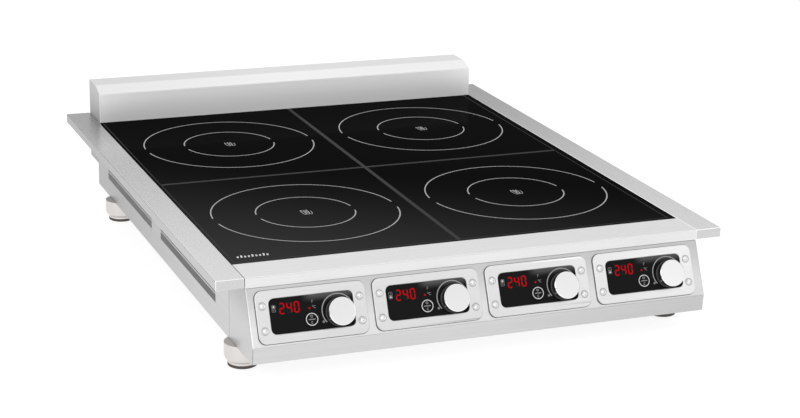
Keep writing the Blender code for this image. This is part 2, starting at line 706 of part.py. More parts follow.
clear_scene()
PARTS = make_collection("induction_cooktop")
CUTTERS = make_collection("cutters")
STEEL = make_material("satin_stainless", (0.72, 0.72, 0.73), 0.32, 1.0)
GALVANISED = make_material("galvanised_sheet", (0.55, 0.56, 0.57), 0.5, 1.0)
LEG_METAL = make_material("leg_metal", (0.66, 0.63, 0.61), 0.4, 1.0)
KNOB_METAL = make_material("knob_aluminium", (0.85, 0.85, 0.86), 0.3, 1.0)
ALUMINIUM = make_material("heatsink_aluminium", (0.7, 0.7, 0.72), 0.45, 1.0)
GLASS = make_material("black_glass", (0.012, 0.012, 0.013), 0.08)
BLACK_PLASTIC = make_material("black_plastic", (0.02, 0.02, 0.02), 0.5)
WHITE_PLASTIC = make_material("white_plastic", (0.8, 0.8, 0.78), 0.5)
RUBBER = make_material("dark_rubber", (0.04, 0.032, 0.028), 0.8)
MICA = make_material("mica_board", (0.55, 0.5, 0.42), 0.7)
COPPER = make_material("copper_litz", (0.6, 0.28, 0.15), 0.45, 1.0)
CIRCUIT = make_material("circuit_board", (0.03, 0.2, 0.09), 0.5)

build_side_rails()
build_front_strip()
build_glass()
build_rear_housing()
build_front_fascia()
build_side_panels()
build_rear_panel()
build_base_pan()
build_cable_gland()
build_legs()
build_modules()
build_coils()
build_power_boards()
build_fans()
build_terminal_block()
smooth_round_pieces()
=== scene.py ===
"""Looks, light and camera for the four-zone induction cooktop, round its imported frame."""
import json
import math

import bmesh
import bpy
from mathutils import Matrix, Vector


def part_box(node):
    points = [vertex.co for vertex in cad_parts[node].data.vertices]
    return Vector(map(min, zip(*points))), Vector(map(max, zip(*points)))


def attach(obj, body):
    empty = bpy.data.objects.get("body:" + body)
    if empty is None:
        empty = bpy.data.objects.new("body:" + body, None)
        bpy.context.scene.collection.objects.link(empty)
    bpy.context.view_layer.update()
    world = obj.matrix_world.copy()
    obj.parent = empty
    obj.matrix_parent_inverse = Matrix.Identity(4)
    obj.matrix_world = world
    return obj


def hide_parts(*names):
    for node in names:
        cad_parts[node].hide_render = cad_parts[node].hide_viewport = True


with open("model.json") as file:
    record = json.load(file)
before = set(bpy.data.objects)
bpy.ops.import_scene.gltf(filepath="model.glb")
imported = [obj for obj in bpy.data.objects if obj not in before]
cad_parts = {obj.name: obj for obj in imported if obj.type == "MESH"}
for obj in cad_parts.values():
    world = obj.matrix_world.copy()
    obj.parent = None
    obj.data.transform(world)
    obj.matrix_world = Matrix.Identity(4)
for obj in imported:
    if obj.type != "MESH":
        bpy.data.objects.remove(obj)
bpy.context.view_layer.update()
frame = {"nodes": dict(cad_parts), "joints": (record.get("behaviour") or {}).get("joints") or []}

SIDES = (("left", -1), ("right", 1))
ENDS = ("front", "rear")
MODULES = (1, 2, 3, 4)
MM = 0.001
ROUND = 96               # segments round a turned piece
ARC_STEP = 2.5           # degrees between the points of an arc
SHARPEST_MITRE = 0.5     # cosine at which a mitred corner stops growing
WELD_DISTANCE = 0.01 * MM
SEAM_GAP = 0.02 * MM     # widest seam closed before a CAD mesh is rounded
ROUNDED_FROM = 40        # degrees an edge must turn to be rounded


# Meshes ---------------------------------------------------------------------------------------

def mesh_from(name, work, crease=30):
    """Turns a bmesh into a mesh, smooth but for edges sharper than crease degrees."""
    bmesh.ops.recalc_face_normals(work, faces=work.faces)
    mesh = bpy.data.meshes.new(name)
    work.to_mesh(mesh)
    work.free()
    mesh.shade_smooth()
    mesh.set_sharp_from_angle(angle=math.radians(crease))
    return mesh


def add_ring_faces(work, first, second, closed=True):
    """Joins two rows of corners with faces."""
    count = len(first)
    for k in range(count if closed else count - 1):
        after = (k + 1) % count
        corners = [first[k], first[after], second[after], second[k]]
        work.faces.new(list(dict.fromkeys(corners)))


def add_turned(work, profile, matrix=Matrix(), steps=ROUND, closed=False):
    """Adds a profile of (radius, height) points in millimetres, turned about Z."""
    rings = []
    for radius, height in profile:
        if radius == 0.0:
            tip = work.verts.new(matrix @ Vector((0.0, 0.0, height * MM)))
            rings.append([tip] * steps)
            continue
        ring = []
        for k in range(steps):
            turn = 2 * math.pi * k / steps
            spot = Vector((radius * math.cos(turn), radius * math.sin(turn), height)) * MM
            ring.append(work.verts.new(matrix @ spot))
        rings.append(ring)
    pairs = list(zip(rings, rings[1:]))
    if closed:
        pairs.append((rings[-1], rings[0]))
    for first, second in pairs:
        add_ring_faces(work, first, second)


def add_slab(work, points, low, high):
    """Adds a flat solid with a simple outline."""
    bottom = [work.verts.new((x, y, low)) for x, y in points]
    top = [work.verts.new((x, y, high)) for x, y in points]
    work.faces.new(bottom)
    work.faces.new(top)
    add_ring_faces(work, bottom, top)


def add_box(work, low, high):
    """Adds a box between two corners."""
    middle = (Vector(low) + Vector(high)) / 2
    size = Matrix.Diagonal((*(Vector(high) - Vector(low)), 1.0))
    bmesh.ops.create_cube(work, size=1.0, matrix=Matrix.Translation(middle) @ size)


def add_stroke(work, points, width, low, high, closed=False):
    """Adds a line of even width along a path, mitred at its corners."""
    spots = [Vector(point) for point in points]
    count = len(spots)
    left, right = [], []
    for k, spot in enumerate(spots):
        before = spots[k - 1] if closed or k else spot
        after = spots[(k + 1) % count] if closed or k < count - 1 else spot
        runs = [run.normalized() for run in (spot - before, after - spot) if run.length > 0]
        along = sum(runs, Vector((0.0, 0.0))).normalized()
        across = Vector((-along.y, along.x))
        stretch = 1 / max(SHARPEST_MITRE, abs(across.dot(Vector((-runs[0].y, runs[0].x)))))
        left.append(spot + across * width / 2 * stretch)
        right.append(spot - across * width / 2 * stretch)
    rails = [[work.verts.new((p.x, p.y, z)) for p in side]
             for side, z in ((left, low), (right, low), (right, high), (left, high))]
    for first, second in zip(rails, rails[1:] + rails[:1]):
        add_ring_faces(work, first, second, closed)
    if not closed:
        work.faces.new([rail[0] for rail in rails])
        work.faces.new([rail[-1] for rail in rails])


def arc(radius, start, end, centre=(0.0, 0.0)):
    """Points along an arc, angles in degrees."""
    steps = max(4, round(abs(end - start) / ARC_STEP))
    angles = [math.radians(start + (end - start) * k / steps) for k in range(steps + 1)]
    return [(centre[0] + radius * math.cos(a), centre[1] + radius * math.sin(a)) for a in angles]


def rounded_rectangle(width, height, radius, centre=(0.0, 0.0)):
    """Outline of a rectangle with round corners."""
    points = []
    for start, x_sign, y_sign in ((0, 1, 1), (90, -1, 1), (180, -1, -1), (270, 1, -1)):
        corner = (centre[0] + x_sign * (width / 2 - radius),
                  centre[1] + y_sign * (height / 2 - radius))
        points += arc(radius, start, start + 90, corner)
    return points


def plate(name, outlines, low, high):
    """Mesh of a flat plate whose first outline is its rim and whose others are holes."""
    curve = bpy.data.curves.new(name, "CURVE")
    curve.dimensions = "2D"
    curve.fill_mode = "BOTH"
    curve.extrude = (high - low) / 2
    for outline in outlines:
        spline = curve.splines.new("POLY")
        spline.points.add(len(outline) - 1)
        for point, (x, y) in zip(spline.points, outline):
            point.co = (x, y, 0.0, 1.0)
        spline.use_cyclic_u = True
    flat = bpy.data.objects.new(name, curve)
    bpy.context.scene.collection.objects.link(flat)
    bpy.context.view_layer.update()
    graph = bpy.context.evaluated_depsgraph_get()
    mesh = bpy.data.meshes.new_from_object(flat.evaluated_get(graph))
    bpy.data.objects.remove(flat)
    work = bmesh.new()
    work.from_mesh(mesh)
    bmesh.ops.remove_doubles(work, verts=work.verts, dist=WELD_DISTANCE)
    bmesh.ops.translate(work, verts=work.verts, vec=(0.0, 0.0, (low + high) / 2))
    return mesh_from(name, work)


def piece(name, mesh, material, body="root", matrix=None, replaces=()):
    """Object for a mesh, riding on a CAD body."""
    obj = bpy.data.objects.new(name, mesh)
    bpy.context.scene.collection.objects.link(obj)
    mesh.materials.clear()
    mesh.materials.append(material)
    if matrix:
        obj.matrix_world = matrix
    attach(obj, body)
    if replaces:
        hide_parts(*replaces)
    return obj


def round_edges(obj, width):
    """Rounds an object's edges, after closing the seams its mesh was stored with."""
    weld = obj.modifiers.new("weld", "WELD")
    weld.merge_threshold = SEAM_GAP
    bevel = obj.modifiers.new("edges", "BEVEL")
    bevel.width = width
    bevel.segments = 2
    bevel.limit_method = "ANGLE"
    bevel.angle_limit = math.radians(ROUNDED_FROM)
    bevel.harden_normals = True


# Materials ------------------------------------------------------------------------------------

LEFT = (-1.0, 0.0, 0.0)
RIGHT = (1.0, 0.0, 0.0)
BACK = (0.0, 1.0, 0.0)
FRONT = (0.0, -1.0, 0.0)
UP = (0.0, 0.0, 1.0)
DOWN = (0.0, 0.0, -1.0)
# The four directions below aim the painted shade on the steel by the way faces are turned.
NEAR_CORNER = (-0.7, -0.7, 0.0)     # catches the rounded upright edges at the front left
LOWER_BAND = (0.0, -0.8, -0.6)      # catches the fascia's band under the modules
UPSTAND_TOP = (0.0, 0.31, 0.95)     # leans back, so it catches the flat top and not the chamfer
UPSTAND_FOLD = (0.0, -0.81, 0.59)   # halfway between the upstand's front and its chamfer

HAIRS = (1400.0, 14.0)        # repeats per metre across and along the brushing
STREAKS = (260.0, 3.5)
HAIR_DEPTH = 0.02 * MM
SHEET_WAVES = 5.0             # repeats per metre of the sheet's slight unevenness
SHEET_WAVE_DEPTH = 0.4 * MM
SPUN_RINGS = 2600.0           # repeats per metre away from the axis of spun metal


def grey(level):
    return (level, level, level)


def evenly(repeats):
    """Texture scale with the same repeats per metre along X, Y and Z."""
    return (repeats, repeats, repeats)


def shaded(shade, factor):
    """A colour times a factor, kept below white."""
    return tuple(min(1.0, factor * channel) for channel in shade)


class Surface:
    """A Principled material whose sockets can be varied with procedural textures."""

    def __init__(self, name, **sockets):
        self.material = bpy.data.materials.new(name)
        self.material.use_nodes = True
        self.nodes = self.material.node_tree.nodes
        self.links = self.material.node_tree.links
        self.shader = self.nodes["Principled BSDF"]
        places = self.nodes.new("ShaderNodeTexCoord").outputs
        self.coords = places["Object"]
        self.facing = places["Normal"]
        self.normal = None
        for socket, value in sockets.items():
            if isinstance(value, tuple):
                value = (*value, 1.0)
            self.shader.inputs[socket.replace("_", " ")].default_value = value

    def scaled(self, scale, source=None):
        """Texture coordinates times a scale for each axis."""
        mapping = self.nodes.new("ShaderNodeMapping")
        mapping.inputs["Scale"].default_value = scale
        self.links.new(source or self.coords, mapping.inputs["Vector"])
        return mapping.outputs["Vector"]

    def noise(self, scale, detail, source=None):
        """Noise with its repeats per metre along X, Y and Z."""
        texture = self.nodes.new("ShaderNodeTexNoise")
        texture.inputs["Scale"].default_value = 1.0
        texture.inputs["Detail"].default_value = detail
        self.links.new(self.scaled(scale, source), texture.inputs["Vector"])
        return texture.outputs["Fac"]

    def cells(self, scale, feature="F1"):
        """Distance within a pattern of irregular cells."""
        texture = self.nodes.new("ShaderNodeTexVoronoi")
        texture.feature = feature
        texture.inputs["Scale"].default_value = 1.0
        self.links.new(self.scaled(scale), texture.inputs["Vector"])
        return texture.outputs["Distance"]

    def along(self, direction, low, high, source=None):
        """Goes from 0 to 1 as a place moves from low to high along a direction."""
        product = self.nodes.new("ShaderNodeVectorMath")
        product.operation = "DOT_PRODUCT"
        product.inputs[1].default_value = direction
        self.links.new(source or self.coords, product.inputs[0])
        spread = self.nodes.new("ShaderNodeMapRange")
        spread.interpolation_type = "SMOOTHSTEP"
        spread.inputs["From Min"].default_value = low
        spread.inputs["From Max"].default_value = high
        self.links.new(product.outputs["Value"], spread.inputs["Value"])
        return spread.outputs["Result"]

    def fade(self, direction, low, high, level, source=None):
        """Painted shade: multiplies the colour by level at the far end of a direction."""
        mix = self.nodes.new("ShaderNodeMixRGB")
        mix.blend_type = "MULTIPLY"
        mix.inputs["Color2"].default_value = (*grey(level), 1.0)
        base = self.shader.inputs["Base Color"]
        self.links.new(base.links[0].from_socket, mix.inputs["Color1"])
        self.links.new(self.along(direction, low, high, source), mix.inputs["Fac"])
        self.links.new(mix.outputs["Color"], base)

    def product(self, first, second):
        """One texture times another."""
        times = self.nodes.new("ShaderNodeMath")
        times.operation = "MULTIPLY"
        self.links.new(first, times.inputs[0])
        self.links.new(second, times.inputs[1])
        return times.outputs["Value"]

    def from_axis(self, scale):
        """Noise that only varies with the distance from the object's own Z axis."""
        flat = self.scaled((1.0, 1.0, 0.0))
        length = self.nodes.new("ShaderNodeVectorMath")
        length.operation = "LENGTH"
        self.links.new(flat, length.inputs[0])
        spread = self.nodes.new("ShaderNodeCombineXYZ")
        self.links.new(length.outputs["Value"], spread.inputs["X"])
        return self.noise((scale, 0.0, 0.0), 3.0, spread.outputs["Vector"])

    def colour(self, factor, dark, light, edges=(0.3, 0.7), socket="Base Color"):
        """Varies a colour between two, as a texture goes from one edge to the other."""
        ramp = self.nodes.new("ShaderNodeValToRGB")
        for element, position, value in zip(ramp.color_ramp.elements, edges, (dark, light)):
            element.position = position
            element.color = (*value, 1.0)
        self.links.new(factor, ramp.inputs["Fac"])
        self.links.new(ramp.outputs["Color"], self.shader.inputs[socket])

    def roughness(self, factor, low, high, edges=(0.3, 0.7)):
        """Varies the roughness between two values in the same way."""
        spread = self.nodes.new("ShaderNodeMapRange")
        sockets = ("From Min", "From Max", "To Min", "To Max")
        for socket, value in zip(sockets, (*edges, low, high)):
            spread.inputs[socket].default_value = value
        self.links.new(factor, spread.inputs["Value"])
        self.links.new(spread.outputs["Result"], self.shader.inputs["Roughness"])

    def bump(self, height, distance, strength):
        """Adds relief, on top of any that is there already."""
        node = self.nodes.new("ShaderNodeBump")
        node.inputs["Distance"].default_value = distance
        node.inputs["Strength"].default_value = strength
        self.links.new(height, node.inputs["Height"])
        if self.normal:
            self.links.new(self.normal, node.inputs["Normal"])
        self.normal = node.outputs["Normal"]
        self.links.new(self.normal, self.shader.inputs["Normal"])
        return self


def brushed_steel(name, shade, roughness, grain, metallic=1.0, painted_shades=(), turned_painted_shades=()):
    """Satin stainless, with its brushing along one axis: 0 for X, 1 for Y, 2 for Z.

    Painted shade: the colour darkens along each given direction, and on faces turned towards each
    given facing.
    """
    hair_scale, streak_scale = [list(evenly(across)) for across, _ in (HAIRS, STREAKS)]
    hair_scale[grain] = HAIRS[1]
    streak_scale[grain] = STREAKS[1]
    steel = Surface(name, Metallic=metallic)
    steel.colour(steel.noise(streak_scale, 3.0), shaded(shade, 0.98), shaded(shade, 1.02))
    # Painted shade, by place along a direction and by the way a face is turned.
    for direction, low, high, level in painted_shades:
        steel.fade(direction, low, high, level)
    for direction, low, high, level in turned_painted_shades:
        steel.fade(direction, low, high, level, steel.facing)
    hairs = steel.noise(hair_scale, 2.0)
    steel.roughness(hairs, roughness - 0.03, roughness + 0.04)
    steel.bump(hairs, HAIR_DEPTH, 0.09)
    return steel.bump(steel.noise(evenly(SHEET_WAVES), 1.0), SHEET_WAVE_DEPTH, 0.06).material


def turned_metal(name, shade, roughness):
    """Metal spun about the object's own Z axis."""
    metal = Surface(name, Metallic=1.0)
    rings = metal.from_axis(SPUN_RINGS)
    metal.colour(rings, shaded(shade, 0.94), shade)
    metal.roughness(rings, roughness - 0.04, roughness + 0.06)
    return metal.bump(rings, HAIR_DEPTH, 0.4).material


def moulded(name, shade, roughness, grain=900.0, **sockets):
    """Moulded plastic or rubber with a fine grain and a little dust."""
    plastic = Surface(name, **sockets)
    speckle = plastic.noise(evenly(grain), 3.0)
    dust = plastic.noise(evenly(40.0), 3.0)
    plastic.colour(dust, shaded(shade, 0.85), shaded(shade, 1.18))
    plastic.roughness(speckle, roughness - 0.06, roughness + 0.06)
    return plastic.bump(speckle, 0.08 * MM, 0.25).material


def printed(name, shade):
    """Fired enamel print on glass: slightly uneven and finely dotted."""
    enamel = Surface(name, Roughness=0.5, IOR=1.2)
    enamel.colour(enamel.noise(evenly(300.0), 3.0), shaded(shade, 0.88), shade)
    return enamel.bump(enamel.noise(evenly(4000.0), 1.0), 0.02 * MM, 0.3).material


def glowing(name, shade, strength):
    """Lit display segment with a faint mottle."""
    lamp = Surface(name, Base_Color=(0.01, 0.002, 0.002), Roughness=0.5, IOR=1.05,
                   Emission_Strength=strength)
    lamp.colour(lamp.noise(evenly(900.0), 2.0), shaded(shade, 0.9), shade,
                socket="Emission Color")
    return lamp.material


def glass_ceramic():
    """Gloss black glass, with a painted reflection that lightens it towards its front left, and
    the faintest wave and wipe marks.
    """
    glass = Surface("black_glass_ceramic", IOR=1.02)
    # Painted reflection: the colour lightens towards the front left.
    painted_reflection = glass.along((-0.6, -1.0, 0.0), 0.0, 0.64)
    glass.colour(painted_reflection, grey(0.0005), (0.0335, 0.033, 0.0325), (0.0, 1.0))
    glass.roughness(glass.noise((14.0, 30.0, 10.0), 3.0), 0.05, 0.11)
    return glass.bump(glass.noise(evenly(7.0), 0.0), 0.2 * MM, 0.05).material


def window_acrylic():
    """Gloss black acrylic of the display windows, with a painted reflection along the upper edge
    by the knob.
    """
    acrylic = Surface("window_acrylic", IOR=1.12)
    upper_edge = acrylic.along(BACK, 0.012, 0.023)
    beside_knob = acrylic.along(RIGHT, -0.014, 0.004)
    # Painted reflection: a lighter patch along the upper edge beside the knob.
    painted_sheen = acrylic.product(upper_edge, beside_knob)
    acrylic.colour(painted_sheen, (0.0075, 0.0075, 0.0077), grey(0.085), (0.0, 1.0))
    acrylic.roughness(acrylic.noise((50.0, 120.0, 50.0), 3.0), 0.07, 0.13)
    return acrylic.bump(acrylic.noise(evenly(30.0), 1.0), 0.1 * MM, 0.04).material


def circuit_green():
    """Solder mask over a net of tracks."""
    board = Surface("solder_mask", Roughness=0.4)
    tracks = board.cells(evenly(420.0), "DISTANCE_TO_EDGE")
    board.colour(tracks, (0.05, 0.27, 0.12), (0.014, 0.13, 0.05), (0.03, 0.08))
    return board.bump(tracks, 0.1 * MM, 0.3).material


def galvanised():
    """Zinc with its spangle."""
    zinc = Surface("galvanised", Metallic=1.0)
    spangle = zinc.cells(evenly(90.0))
    zinc.colour(spangle, (0.44, 0.45, 0.46), (0.60, 0.61, 0.62), (0.0, 0.6))
    zinc.roughness(spangle, 0.38, 0.55, (0.0, 0.6))
    return zinc.bump(spangle, 0.05 * MM, 0.3).material


def litz_copper():
    """Copper wound of many fine strands."""
    copper = Surface("litz_copper", Metallic=1.0)
    strands = copper.noise((500.0, 500.0, 60.0), 3.0)
    copper.colour(strands, (0.30, 0.11, 0.05), (0.68, 0.31, 0.16))
    copper.roughness(strands, 0.3, 0.5)
    return copper.bump(strands, 0.3 * MM, 0.6).material


# Painted shade: the rails darken towards the back, and their top, sides and ends are darker than
# the rounded edges, which stay bright as a painted highlight.
RAIL_STEEL = brushed_steel(
    "steel_along_rails", grey(1.0), 0.26, 1, painted_shades=[(BACK, -0.40, 0.43, 0.63)],
    turned_painted_shades=[(UP, 0.90, 0.99, 0.92), (LEFT, 0.8, 0.97, 0.48), (RIGHT, 0.8, 0.97, 0.48),
                  (FRONT, 0.8, 0.97, 0.61)])
# Painted shade: the strip's front face is darker than its top.
STRIP_STEEL = brushed_steel(
    "steel_across_strip", grey(0.97), 0.30, 0, turned_painted_shades=[(FRONT, 0.5, 0.9, 0.80)])
# Painted shade: the side panels get a darker base than the rails' steel, and darken further
# towards the back.
SIDE_STEEL = brushed_steel(
    "steel_along_sides", grey(0.61), 0.40, 1, painted_shades=[(BACK, -0.36, 0.30, 0.70)])
# Painted shade: the slats are darker than the panels' steel, for the shade inside the vents.
SLAT_STEEL = brushed_steel("steel_up_slats", grey(0.36), 0.50, 2)
# Painted shade: the fascia darkens to the right, has a painted shadow along its top under the
# strip, and darker cheeks, lower band and front left edges.
FRONT_STEEL = brushed_steel(
    "steel_across_front", grey(0.82), 0.36, 0,
    painted_shades=[(RIGHT, -0.10, 0.45, 0.84), (UP, 0.068, 0.120, 0.76)],
    turned_painted_shades=[(LEFT, 0.5, 0.9, 0.72), (RIGHT, 0.5, 0.9, 0.72), (LOWER_BAND, 0.5, 0.9, 0.75),
                  (NEAR_CORNER, 0.76, 0.92, 0.62)])
# Painted shade on the bezels' rounded front left edges.
BEZEL_STEEL = brushed_steel(
    "steel_across_bezels", grey(0.80), 0.30, 0, turned_painted_shades=[(NEAR_CORNER, 0.78, 0.92, 0.72)])
# Painted shade: the upstand darkens towards its foot and its left, and its top, chamfer and ends
# are darkened by the way they face.
REAR_STEEL = brushed_steel(
    "steel_across_rear", grey(1.0), 0.50, 0, metallic=0.10,
    painted_shades=[(DOWN, -0.182, -0.140, 0.77), (LEFT, 0.0, 0.30, 0.92)],
    turned_painted_shades=[(UP, 0.5, 0.9, 0.82), (UPSTAND_TOP, 0.84, 0.93, 0.91),
                  (UPSTAND_FOLD, 0.93, 0.99, 0.80), (LEFT, 0.5, 0.9, 0.55),
                  (RIGHT, 0.5, 0.9, 0.55)])
SCREW_STEEL = turned_metal("screw_steel", grey(0.90), 0.18)
CUP_STEEL = turned_metal("screw_cup_steel", grey(0.52), 0.34)
KNOB_FACE = turned_metal("spun_knob_face", grey(0.88), 0.34)
KNOB_RIM = turned_metal("bright_knob_rim", grey(0.93), 0.12)
KNOB_BODY = moulded("knob_body_black", grey(0.012), 0.42, IOR=1.3)
KNOB_SKIRT = moulded("knob_skirt_grey", (0.045, 0.045, 0.046), 0.38, IOR=1.35)
LEG_FINISH = turned_metal("leg_satin", (0.74, 0.71, 0.69), 0.42)
FOOT_RUBBER = moulded("foot_rubber", (0.062, 0.052, 0.046), 0.72, 700.0)
SEAL_RUBBER = moulded("seal_rubber", grey(0.02), 0.75, 700.0)
# Painted shadow: a dark moulded strip for the shade in the gap round each bezel.
SHADOW_LINE_DARK = moulded("painted_shadow_line", grey(0.10), 0.70, 700.0)
BLACK_PLASTIC = moulded("black_nylon", grey(0.02), 0.5)
WHITE_PLASTIC = moulded("white_nylon", (0.72, 0.72, 0.70), 0.45)
MICA = moulded("pressed_mica", (0.52, 0.47, 0.38), 0.7, 500.0)
HEATSINK = brushed_steel("mill_aluminium", (0.68, 0.68, 0.70), 0.45, 2)
RING_PRINT = printed("ring_print", (0.40, 0.40, 0.39))
LINE_PRINT = printed("divider_print", grey(0.018))
SYMBOL_PRINT = printed("symbol_print", grey(0.62))
WINDOW_PRINT = printed("window_print", grey(0.34))
DIM_PRINT = printed("dim_window_print", grey(0.22))
UNLIT_SEGMENT = printed("unlit_segment", (0.005, 0.010, 0.010))
GLOW_RED = glowing("red_segments", (1.0, 0.003, 0.010), 0.50)
GLOW_WHITE = glowing("white_indicator", grey(0.85), 0.75)
GLASS = glass_ceramic()
ACRYLIC = window_acrylic()
CIRCUIT = circuit_green()
ZINC = galvanised()
COPPER = litz_copper()

NODE_LOOKS = {
    "left_side_rail": RAIL_STEEL, "right_side_rail": RAIL_STEEL, "front_top_strip": STRIP_STEEL,
    "glass_top": GLASS, "glass_seal": SEAL_RUBBER, "rear_housing": REAR_STEEL,
    "front_fascia": FRONT_STEEL,
    "left_side_panel": SIDE_STEEL, "right_side_panel": SIDE_STEEL, "rear_panel": REAR_STEEL,
    "base_pan": ZINC, "terminal_block": WHITE_PLASTIC,
    "bezel_plate": BEZEL_STEEL, "push_button": ACRYLIC, "control_board": CIRCUIT,
    "coil_carrier": MICA, "coil_winding": COPPER, "power_board": CIRCUIT, "heatsink": HEATSINK,
    "fan_frame": BLACK_PLASTIC, "fan_rotor": BLACK_PLASTIC,
}


EDGE_ROUNDING = 0.8 * MM


def dress_frame():
    """Gives every CAD node its procedural finish, and rounds the bezels' and rails' edges."""
    for name, node in frame["nodes"].items():
        for start, look in NODE_LOOKS.items():
            if name.startswith(start):
                node.data.materials.clear()
                node.data.materials.append(look)
    for number in MODULES:
        round_edges(frame["nodes"]["bezel_plate_%d" % number], EDGE_ROUNDING)
    for side, _ in SIDES:
        round_edges(frame["nodes"][side + "_side_rail"], EDGE_ROUNDING)


# Print on the glass ---------------------------------------------------------------------------

PRINT_HEIGHT = 0.05 * MM
OUTER_RING = 127.5 * MM
INNER_RING = 67.5 * MM
RING_WIDTH = 1.7 * MM
OUTER_GAP = 11.0             # degrees, like the two below
INNER_GAP = 17.0
GAP_TURN = 1.6               # how far the rings' gaps are turned from straight across
DIVIDER_WIDTH = 6.0 * MM
DIVIDER_X = -4.0 * MM
DIVIDER_SHIFT = 1.5 * MM     # of the line across, back from the glass's middle
DIVIDER_FRONT = 4 * MM
BORDER_LEFT = 4 * MM         # how far the thin line round the glass stays inside its edges
BORDER_RIGHT = 11 * MM
BORDER_FRONT = 5 * MM
BORDER_BACK = 2 * MM
BORDER_WIDTH = 1.3 * MM

COIL_STEPS = 24              # points in one loop of a coil symbol
COIL_POINTS = range(-4, 69)
COIL_PITCH = 3.9 * MM
COIL_LOOP = (2.0 * MM, 9.4 * MM)
COIL_START = (-5.0 * MM, -2.0 * MM)
COIL_WIDTH = 0.6 * MM

MARK_BARS = 9
MARK_PITCH = 4.9 * MM
MARK_SPOT = (14 * MM, 21 * MM)
MARK_HEIGHTS = (6.0 * MM, 8.5 * MM, 6.0 * MM)
MARK_SLANT = 0.2
MARK_WIDTH = 2.4 * MM


def build_glass_print():
    """Zone rings and symbols, the lines between the zones and round them, and the corner mark."""
    low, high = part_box("glass_top")
    top = high.z
    for end in ENDS:
        for side, _ in SIDES:
            build_zone_print("%s_%s" % (end, side), top)

    work = bmesh.new()
    left, right = low.x + BORDER_LEFT, high.x - BORDER_RIGHT
    front, rear = low.y + BORDER_FRONT, high.y - BORDER_BACK
    middle_y = (low.y + high.y) / 2 + DIVIDER_SHIFT
    across = [(left, middle_y), (right, middle_y)]
    back = [(DIVIDER_X, low.y + DIVIDER_FRONT), (DIVIDER_X, rear)]
    add_stroke(work, across, DIVIDER_WIDTH, top, top + PRINT_HEIGHT)
    add_stroke(work, back, DIVIDER_WIDTH, top, top + 1.2 * PRINT_HEIGHT)
    piece("zone_dividers", mesh_from("zone_dividers", work), LINE_PRINT)

    work = bmesh.new()
    border = [(left, rear), (left, front), (right, front), (right, rear)]
    add_stroke(work, border, BORDER_WIDTH, top, top + PRINT_HEIGHT)
    piece("glass_border_line", mesh_from("glass_border_line", work), LINE_PRINT)
    build_corner_mark(low, top)


def build_zone_print(zone, top):
    """Two broken rings round a zone's coil, and a plain coil symbol in their middle."""
    low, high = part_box("coil_winding_" + zone)
    centre = ((low.x + high.x) / 2, (low.y + high.y) / 2)
    work = bmesh.new()
    for radius, gap in ((OUTER_RING, OUTER_GAP), (INNER_RING, INNER_GAP)):
        for start, end in ((-GAP_TURN, 180.0 + GAP_TURN), (180.0 + GAP_TURN, 360.0 - GAP_TURN)):
            line = arc(radius, start + gap / 2, end - gap / 2, centre)
            add_stroke(work, line, RING_WIDTH, top, top + PRINT_HEIGHT)
    piece("zone_rings_" + zone, mesh_from("zone_rings", work), RING_PRINT)

    work = bmesh.new()
    coil = []
    for k in COIL_POINTS:
        turn = 2 * math.pi * k / COIL_STEPS
        x = COIL_START[0] + COIL_PITCH * turn / (2 * math.pi) - COIL_LOOP[0] * math.sin(turn)
        y = COIL_START[1] + COIL_LOOP[1] * math.cos(turn)
        coil.append((centre[0] + x, centre[1] + y))
    add_stroke(work, coil, COIL_WIDTH, top, top + PRINT_HEIGHT)
    piece("coil_symbol_" + zone, mesh_from("coil_symbol", work), SYMBOL_PRINT)


def build_corner_mark(low, top):
    """Plain row of slanted bars near the front left corner."""
    work = bmesh.new()
    foot = low.y + MARK_SPOT[1]
    for k in range(MARK_BARS):
        x = low.x + MARK_SPOT[0] + MARK_PITCH * k
        height = MARK_HEIGHTS[k % len(MARK_HEIGHTS)]
        bar = [(x, foot), (x + MARK_SLANT * height, foot + height)]
        add_stroke(work, bar, MARK_WIDTH, top, top + PRINT_HEIGHT)
    piece("corner_mark", mesh_from("corner_mark", work), SYMBOL_PRINT)


# Control modules ------------------------------------------------------------------------------

WINDOW = (108.8 * MM, 44.4 * MM, 7.0 * MM)
WINDOW_TOP = 2.1 * MM
KNOB_SPOT = (34.5 * MM, -3.3 * MM)
ARC_SPOT = (33.6 * MM, -0.8 * MM)
BUTTON_SPOT = (-2.2 * MM, -9.2 * MM)
BUTTON_TOP = 2.3 * MM
SCREW_ACROSS = 63.2 * MM
SCREW_ROWS = (14.1 * MM, -16.7 * MM)
BEZEL_TOP = 2.8 * MM
BEZEL_MIDDLE = 1.55 * MM     # from the fascia's face to the middle of a bezel
# Size of the dark strip under each bezel, a painted shadow line round its edge.
SHADOW_LINE_SIZE = (144.3 * MM, 67.3 * MM)
SHADOW_LINE_WIDTH = 4 * MM
PANE_BACK = 0.3 * MM
PANE_ROUNDING = 0.3 * MM
BUTTON_HOLE = 9.3 * MM

SEGMENTS = {"2": "abged", "4": "fgbc", "0": "abcdef"}
DIGIT = (7.2 * MM, 14.2 * MM)
DIGIT_PITCH = 9.6 * MM
DIGITS_AT = (-41.9 * MM, 1.9 * MM)
SEGMENT_WIDTH = 1.75 * MM
SEGMENT_GAP = 0.15 * MM
POINT_SPOT = (-3.0 * MM, 5.7 * MM)
POINT_RADIUS = 1.3 * MM
LIT_HEIGHT = 0.06 * MM
UNLIT_HEIGHT = 0.04 * MM

